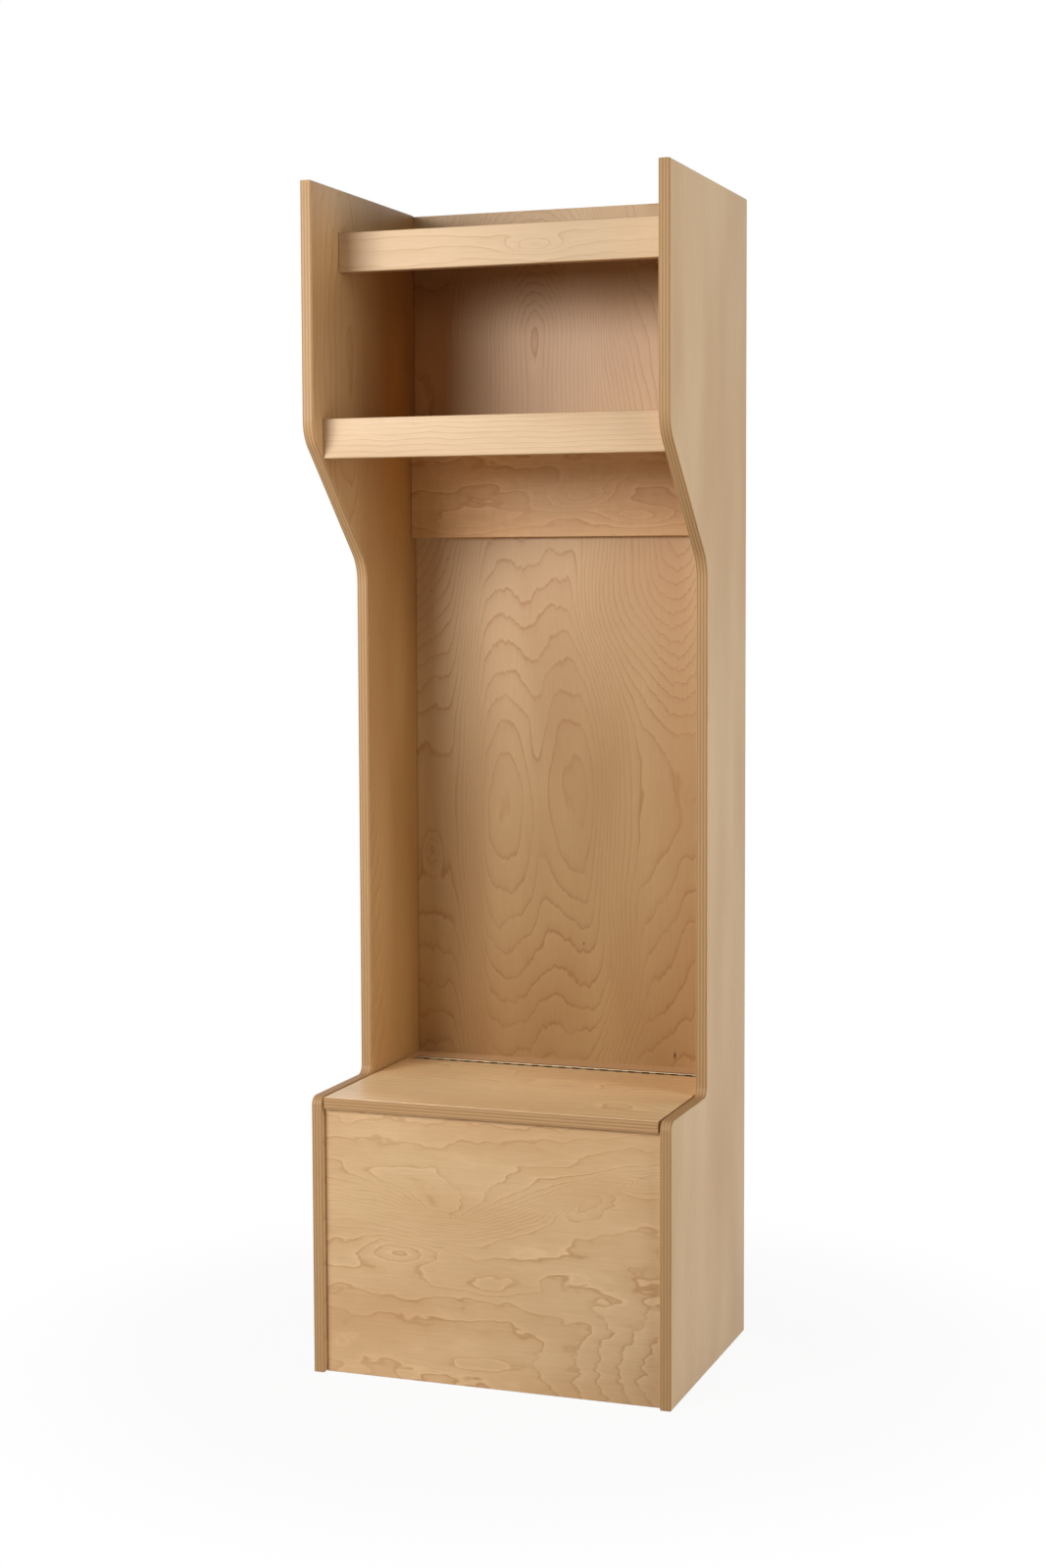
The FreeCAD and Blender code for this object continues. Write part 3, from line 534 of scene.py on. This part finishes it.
# points are in millimetres, faces a list
def makePiece(name, points, faces, material):
    mesh = bpy.data.meshes.new(name)
    mesh.from_pydata((np.asarray(points) / 1000.0).tolist(), [], faces)
    mesh.materials.append(material)
    mesh.shade_smooth()
    mesh.set_sharp_from_angle(angle=sharpAngle)
    piece = bpy.data.objects.new(name, mesh)
    bpy.context.scene.collection.objects.link(piece)
    return piece


# quads between neighbouring rows and columns of a grid whose last column joins the first
def gridFaces(rows, columns):
    r, c = np.meshgrid(np.arange(rows - 1), np.arange(columns), indexing="ij")
    n = (c + 1) % columns
    corners = [r * columns + c, r * columns + n, (r + 1) * columns + n, (r + 1) * columns + c]
    return np.stack(corners, -1).reshape(-1, 4)


# one hinge leaf: the middle line of the sheet runs up the flat leaf, through the neck and round the barrel's
# circle; outer and inner skins lie half a sheet either side of it; a mask over (x, path) says where metal is.
# a pitch has three cells, a gap, sheet and a gap, and a leaf has the sheet of every second pitch
def hingeLeaf(name, side, first, tip):
    turn = np.radians(np.linspace(hinge["neckAngle"], tip, hinge["curlSteps"]))
    curl = np.stack([np.cos(turn), np.sin(turn)], 1) * hinge["barrelMiddle"]
    flat = -hinge["sheetMiddle"]
    footHalf = hinge["foot"] * hinge["footShare"]
    foot = np.array([[flat, hinge["foot"]], [flat, footHalf], [flat, hinge["notch"]]])
    path = np.concatenate([foot, curl])
    along = np.gradient(path, axis=0)
    along /= np.linalg.norm(along, axis=1)[:, None]
    normal = np.stack([-along[:, 1], along[:, 0]], 1)
    outer, inner = path + normal * hinge["sheet"] / 2, path - normal * hinge["sheet"] / 2
    cells = hinge["start"] + hinge["pitch"] * np.arange(hinge["count"])
    xs = np.stack([cells, cells + hinge["gap"], cells + hinge["pitch"] - hinge["gap"]], 1).reshape(-1)
    xs = np.append(xs, hinge["start"] + hinge["pitch"] * hinge["count"])
    solid = np.ones((len(xs) - 1, len(path) - 1), bool)
    knuckle = np.zeros(len(xs) - 1, bool)
    knuckle[1 + 3 * first::6] = True
    solid[:, len(foot) - 1:] = knuckle[:, None]
    rows, cols = len(xs), len(path)

    def skin(line):
        return np.stack([np.repeat(xs, cols), hinge["axisY"] + side * np.tile(line[:, 0], rows),
                         hinge["axisZ"] + np.tile(line[:, 1], rows)], 1)

    points = np.concatenate([skin(outer), skin(inner)])
    n = rows * cols
    at = np.arange(n).reshape(rows, cols)
    i, j = np.nonzero(solid)
    top = np.stack([at[i, j], at[i + 1, j], at[i + 1, j + 1], at[i, j + 1]], 1)
    faces = [top, top[:, ::-1] + n]
    padded = np.pad(solid, 1)
    # walls where a metal cell has none beside it: the step to that neighbour, then the corners of their edge
    for di, dj, (cornerP, cornerQ) in ((-1, 0, ((0, 1), (0, 0))), (1, 0, ((1, 0), (1, 1))),
                                       (0, -1, ((0, 0), (1, 0))), (0, 1, ((1, 1), (0, 1)))):
        beside = padded[1 + di:1 + di + solid.shape[0], 1 + dj:1 + dj + solid.shape[1]]
        i, j = np.nonzero(solid & ~beside)
        p, q = at[i + cornerP[0], j + cornerP[1]], at[i + cornerQ[0], j + cornerQ[1]]
        faces.append(np.stack([q, p, p + n, q + n], 1))
    faces = np.concatenate(faces)
    if side < 0:
        faces = faces[:, ::-1]
    used, inverse = np.unique(faces, return_inverse=True)
    piece = makePiece(name, points[used], inverse.reshape(-1, 4).tolist(), nickel)
    cutSeats(piece)
    return piece


# round seats through a leaf for the screws' heads: a cylinder along y at each, cut out of the leaf's mesh
def cutSeats(piece):
    turns = hinge["seatTurns"]
    angle = np.linspace(0, 2 * np.pi, turns, endpoint=False)
    middles = np.array([(x * s, hinge["screwsZ"]) for x in hinge["screwsX"] for s in (-1, 1)])
    circle = middles[:, None, :] + np.stack([np.cos(angle), np.sin(angle)], 1) * hinge["seatRadius"]
    past = 2 * hinge["sheet"]
    ends = [np.insert(circle, 1, hinge["axisY"] + y, axis=2) for y in (-past, past)]
    points = np.stack(ends, 1).reshape(-1, 3)
    start = 2 * turns * np.arange(len(middles))[:, None]
    c = np.arange(turns)
    n = (c + 1) % turns
    walls = np.stack([c, c + turns, n + turns, n], 1)[None] + start[:, :, None]
    caps = np.concatenate([start + c, start + turns + c[::-1]])
    cutter = makePiece("seat_cutter", points, walls.reshape(-1, 4).tolist() + caps.tolist(), nickel)
    cut = piece.modifiers.new("seats", "BOOLEAN")
    cut.operation, cut.solver, cut.object = "DIFFERENCE", "EXACT", cutter
    kept = bpy.data.meshes.new_from_object(piece.evaluated_get(bpy.context.evaluated_depsgraph_get()))
    piece.modifiers.clear()
    piece.data = kept
    bpy.data.objects.remove(cutter)


# a rod along x with domed ends: over an end's run from 0 to 1 the radius grows evenly to the pin's, and the
# distance from the end is the dome's height times one less the square root of one less the run squared
def hingePin(name):
    turns = hinge["pinTurns"]
    end = np.linspace(0, 1, hinge["pinRings"])
    rise = hinge["pinDome"] * (1 - np.sqrt(1 - end ** 2))
    xs = np.concatenate([hinge["start"] + rise, -hinge["start"] - rise[::-1]])
    grown = np.maximum(end, hinge["pinTip"])
    radius = hinge["pinRadius"] * np.concatenate([grown, grown[::-1]])
    angle = np.linspace(0, 2 * np.pi, turns, endpoint=False)
    points = np.stack([np.repeat(xs, turns), hinge["axisY"] + np.outer(radius, np.cos(angle)).reshape(-1),
                       hinge["axisZ"] + np.outer(radius, np.sin(angle)).reshape(-1)], 1)
    faces = gridFaces(len(xs), turns).tolist()
    faces += [list(range(turns))[::-1], list(range((len(xs) - 1) * turns, len(xs) * turns))]
    return makePiece(name, points, faces, steel)


def settle(piece, body, slot, *nodes):
    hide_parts(*nodes)
    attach(piece, body)


lidLeaf = hingeLeaf("lid_leaf_knuckles", 1, 0, hinge["lidTip"])
settle(lidLeaf, "lid", "hinge_nickel", "hinge_lid_leaf")
fixedLeaf = hingeLeaf("fixed_leaf_knuckles", -1, 1, hinge["fixedTip"])
settle(fixedLeaf, "cabinet", "hinge_nickel", "hinge_fixed_leaf")
settle(hingePin("hinge_wire_pin"), "cabinet", "hinge_nickel", "hinge_pin")
print("hinge made")


# in millimetres: head and shank radius, core radius under the thread, depth of the head's cone, thread pitch,
# depth of the cross recess and reach of its wings
screwKinds = {
    "back": {"length": 34.0, "head": 4.5, "shank": 2.0, "core": 1.35, "cone": 2.6, "pitch": 2.4,
             "recess": 1.5, "wing": 2.6},
    "cleat": {"length": 32.0, "head": 4.0, "shank": 1.9, "core": 1.3, "cone": 2.4, "pitch": 2.2,
              "recess": 1.3, "wing": 2.3},
    "leaf": {"length": 16.0, "head": 3.1, "shank": 1.4, "core": 0.95, "cone": 1.7, "pitch": 1.4,
             "recess": 1.0, "wing": 1.8},
}

# every screw: bar is half a cross bar's width as a share of the head, plus barLeast millimetres; barWall and
# wingWall are how wide the recess's walls lean, rim how far the head's edge is in and down; plain, point and
# last are shares of the length that have no thread, that taper and that the rings reach
screwForm = {
    "turns": 32, "headRings": 12, "pitchRings": 7, "middle": 0.04, "bar": 0.13, "barLeast": 0.12,
    "barWall": 0.22, "wingWall": 0.35, "floorSlope": 0.45, "rim": (0.05, 0.25), "waist": 0.55,
    "plain": 0.12, "plainShare": 0.6, "point": 0.2, "tip": 0.06, "last": 0.98,
}


# a countersunk screw as a surface of turning: radius over length is cone, shank, then core plus a thread
# whose crest follows length / pitch + angle; the head's disc sinks where a cross of two bars lies
def screwSet(name, kind, places, heading, material):
    k, form = screwKinds[kind], screwForm
    turns = form["turns"]
    angle = np.linspace(0, 2 * np.pi, turns, endpoint=False)
    ring = np.linspace(form["middle"], 1, form["headRings"])
    disc = ring[:, None] * k["head"] * np.ones(turns)
    bar = np.minimum(abs(disc * np.sin(angle)), abs(disc * np.cos(angle)))
    sunk = np.clip((k["head"] * form["bar"] + form["barLeast"] - bar) / form["barWall"], 0, 1)
    sunk = sunk * np.clip((k["wing"] - disc) / form["wingWall"], 0, 1)
    recessFloor = k["recess"] * (1 - form["floorSlope"] * disc / k["wing"])
    discDepth = sunk * np.maximum(recessFloor, 0)
    rings = int((k["length"] - k["cone"]) / k["pitch"] * form["pitchRings"])
    run = np.linspace(k["cone"], k["length"] * form["last"], rings)
    point = np.clip((k["length"] - run) / (k["length"] * form["point"]), form["tip"], 1)
    thread = 0.5 + 0.5 * np.cos(2 * np.pi * (run[:, None] / k["pitch"] + angle / (2 * np.pi)))
    grown = np.clip(run - k["cone"] - k["length"] * form["plain"], 0, 1)[:, None]
    ridge = np.where(grown > 0, thread ** 2 * grown + (1 - grown) * form["plainShare"], form["plainShare"])
    body = (k["core"] + (k["shank"] - k["core"]) * ridge) * point[:, None]
    cone = np.array([[k["head"] - form["rim"][0], form["rim"][1]],
                     [k["shank"] * 0.5 + k["head"] * 0.5, k["cone"] * form["waist"]]])
    radius = np.concatenate([disc, cone[:, :1] * np.ones(turns), body])
    drop = np.concatenate([discDepth, cone[:, 1:] * np.ones(turns), run[:, None] * np.ones(turns)])
    local = np.stack([radius * np.cos(angle), radius * np.sin(angle), -drop], -1).reshape(-1, 3)
    rows = len(radius)
    quads = gridFaces(rows, turns)
    local = np.concatenate([local, [[0, 0, -k["recess"]]], [[0, 0, -k["length"]]]])
    capTop, capTip = np.full(turns, rows * turns), np.full(turns, rows * turns + 1)
    c = np.arange(turns)
    n = (c + 1) % turns
    fans = np.concatenate([np.stack([n, c, capTop], 1),
                           np.stack([(rows - 1) * turns + c, (rows - 1) * turns + n, capTip], 1)])
    aim = Vector(heading).to_track_quat("Z", "Y").to_matrix()
    turned = local @ np.array(aim).T
    points = (np.asarray(places, float)[:, None, :] + turned).reshape(-1, 3)
    shift = np.arange(len(places))[:, None, None] * len(local)
    allQuads = (quads[None, :, ::-1] + shift).reshape(-1, 4).tolist()
    allFans = (fans[None, :, ::-1] + shift).reshape(-1, 3).tolist()
    return makePiece(name, points, allQuads + allFans, material)


# middles of the heads in millimetres, as in the CAD
screwPlaces = {
    "backX": (-215.3, 0.0, 215.3), "backY": 220.4, "backZ": (1845.25, 1542.75, 1449.75, 419.0, 69.75),
    "cleatX": 266.0, "cleatY": (-118.0, 6.5, 131.0), "cleatZ": 418.7,
}
backPlaces = [(x, screwPlaces["backY"], z) for z in screwPlaces["backZ"] for x in screwPlaces["backX"]]
backScrews = screwSet("back_screws_turned", "back", backPlaces, (0, 1, 0), zinc)
settle(backScrews, "cabinet", "screw_zinc", "back_panel_screws")
leftPlaces = [(-screwPlaces["cleatX"], y, screwPlaces["cleatZ"]) for y in screwPlaces["cleatY"]]
rightPlaces = [(-x, y, z) for x, y, z in leftPlaces]
leftCleat = screwSet("cleat_screws_left", "cleat", leftPlaces, (1, 0, 0), zinc)
rightCleat = screwSet("cleat_screws_right", "cleat", rightPlaces, (-1, 0, 0), zinc)
settle(leftCleat, "cabinet", "screw_zinc", "lid_cleat_screws")
settle(rightCleat, "cabinet", "screw_zinc", "lid_cleat_screws")
for side, nodeName, body in ((-1, "hinge_lid_screws", "lid"), (1, "hinge_fixed_screws", "cabinet")):
    face = hinge["axisY"] + side * (hinge["sheetMiddle"] - hinge["sheet"] / 2 - hinge["headProud"])
    leafPlaces = [(x * s, face, hinge["screwsZ"]) for x in hinge["screwsX"] for s in (-1, 1)]
    leafScrews = screwSet(nodeName + "_turned", "leaf", leafPlaces, (0, -side, 0), nickel)
    settle(leafScrews, body, "screw_nickel", nodeName)
print("screws made")


# metres and watts; nearWhite is how white the floor is by the object, where the rest shows its shadow
studio = {
    "air": 0.04, "floorGrey": 0.66, "floorReach": 9.0, "floorDrop": 0.0002,
    "nearWhite": 0.93, "whiteFrom": 0.45, "whiteBy": 1.1,
    "softboxes": {
        "key": {"place": (-1.36, -2.75, 2.05), "aim": (0.0, 0.0, 1.30), "size": (1.5, 1.0), "power": 71.0},
        "side": {"place": (-1.90, -2.00, 1.75), "aim": (0.0, 0.0, 1.0), "size": (1.0, 1.4), "power": 13.0},
        "fill": {"place": (3.35, -1.09, 1.75), "aim": (0.0, 0.0, 1.0), "size": (1.4, 2.2), "power": 57.0},
        "rear": {"place": (0.0, 3.40, 1.25), "aim": (0.0, 0.0, 1.05), "size": (0.56, 2.0), "power": 46.0},
    },
}


def addSoftbox(name, look):
    lamp = bpy.data.lights.new(name, "AREA")
    lamp.shape, (lamp.size, lamp.size_y) = "RECTANGLE", look["size"]
    lamp.energy = look["power"]
    holder = bpy.data.objects.new(name, lamp)
    bpy.context.scene.collection.objects.link(holder)
    way = Vector(look["aim"]) - Vector(look["place"])
    turned = way.to_track_quat("-Z", "Y").to_matrix().to_4x4()
    holder.matrix_world = Matrix.Translation(look["place"]) @ turned


# 1 for rays from the camera, from a glossy surface or through a clear one, else 0
def seenStraight(wire):
    outputs = wire.node("ShaderNodeLightPath", output="Is Camera Ray").socket.node.outputs
    camera, glossy, through = [Wire(wire.tree, outputs[name])
                               for name in ("Is Camera Ray", "Is Glossy Ray", "Is Transmission Ray")]
    return wire.maths("MAXIMUM", camera, wire.maths("MAXIMUM", glossy, through))


# white air for those rays, a dim even light for the rest
def addAir():
    world = bpy.data.worlds.new("studio_air")
    bpy.context.scene.world = world
    world.use_nodes = True
    tree = world.node_tree
    tree.nodes.clear()
    air = Wire(tree, None)
    straight = seenStraight(air)
    dimmed = air.node("ShaderNodeBackground", None, {0: (1, 1, 1, 1), 1: studio["air"]})
    white = air.node("ShaderNodeBackground", None, {0: (1, 1, 1, 1), 1: 1.0})
    mixed = air.node("ShaderNodeMixShader", None, {0: straight, 1: dimmed, 2: white})
    tree.links.new(mixed.socket, tree.nodes.new("ShaderNodeOutputWorld").inputs[0])


# a pale floor that fades to the white of the air and shows the object's soft shadow near it
def addFloor():
    reach, level = studio["floorReach"], -studio["floorDrop"]
    mesh = bpy.data.meshes.new("studio_floor")
    corners = [(-reach, -reach, level), (reach, -reach, level), (reach, reach, level), (-reach, reach, level)]
    mesh.from_pydata(corners, [], [(0, 1, 2, 3)])
    floor = bpy.data.objects.new("studio_floor", mesh)
    bpy.context.scene.collection.objects.link(floor)
    material = bpy.data.materials.new("floor_paint")
    material.use_nodes = True
    tree = material.node_tree
    tree.nodes.clear()
    ground = Wire(tree, None)
    plain = ground.node("ShaderNodeBsdfDiffuse", None, {0: (studio["floorGrey"],) * 3 + (1,)})
    bright = ground.node("ShaderNodeEmission", None, {0: (1, 1, 1, 1), 1: 1.0})
    straight = seenStraight(ground)
    spot = ground.node("ShaderNodeTexCoord", output="Object")
    away = ground.node("ShaderNodeVectorMath", {"operation": "LENGTH"}, {0: spot}, 1)
    whiter = away.step(studio["whiteFrom"], studio["whiteBy"]) * (1 - studio["nearWhite"])
    share = straight * (studio["nearWhite"] + whiter)
    mixed = ground.node("ShaderNodeMixShader", None, {0: share, 1: plain, 2: bright})
    tree.links.new(mixed.socket, tree.nodes.new("ShaderNodeOutputMaterial").inputs[0])
    mesh.materials.append(material)


for boxName, look in studio["softboxes"].items():
    addSoftbox(boxName + "_softbox", look)
addAir()
addFloor()
bpy.context.scene.view_settings.view_transform = "Standard"
print("studio lit")


# the photo's camera as fitted to it: place in millimetres, angles in radians, pixels, centre and frame in the
# photo's pixels, sensor in millimetres, farthest in metres
lens = {
    "place": (1377.557, -3883.532, 1301.342), "yaw": 0.346824, "pitch": -0.07524, "roll": -0.004214,
    "pixels": 2553.416, "centre": (526.8, 779.364), "frame": (1067, 1600), "sensor": 36.0, "farthest": 60.0,
}


def addCamera():
    yaw, pitch, roll = lens["yaw"], lens["pitch"], lens["roll"]
    ahead = Vector((-np.sin(yaw) * np.cos(pitch), np.cos(yaw) * np.cos(pitch), np.sin(pitch)))
    right = Vector((np.cos(yaw), np.sin(yaw), 0))
    above = right.cross(ahead)
    rolledRight = right * np.cos(roll) + above * np.sin(roll)
    rolledUp = -right * np.sin(roll) + above * np.cos(roll)
    camera = bpy.data.cameras.new("photo_camera")
    camera.sensor_width, camera.sensor_fit = lens["sensor"], "AUTO"
    width, height = lens["frame"]
    camera.lens = lens["pixels"] / height * lens["sensor"]
    camera.shift_x = (width / 2 - lens["centre"][0]) / height
    camera.shift_y = (lens["centre"][1] - height / 2) / height
    camera.clip_end = lens["farthest"]
    holder = bpy.data.objects.new("photo_camera", camera)
    bpy.context.scene.collection.objects.link(holder)
    turned = Matrix((rolledRight, rolledUp, -ahead)).transposed().to_4x4()
    holder.matrix_world = Matrix.Translation(Vector(lens["place"]) / 1000) @ turned
    bpy.context.scene.camera = holder


addCamera()
print("camera set")
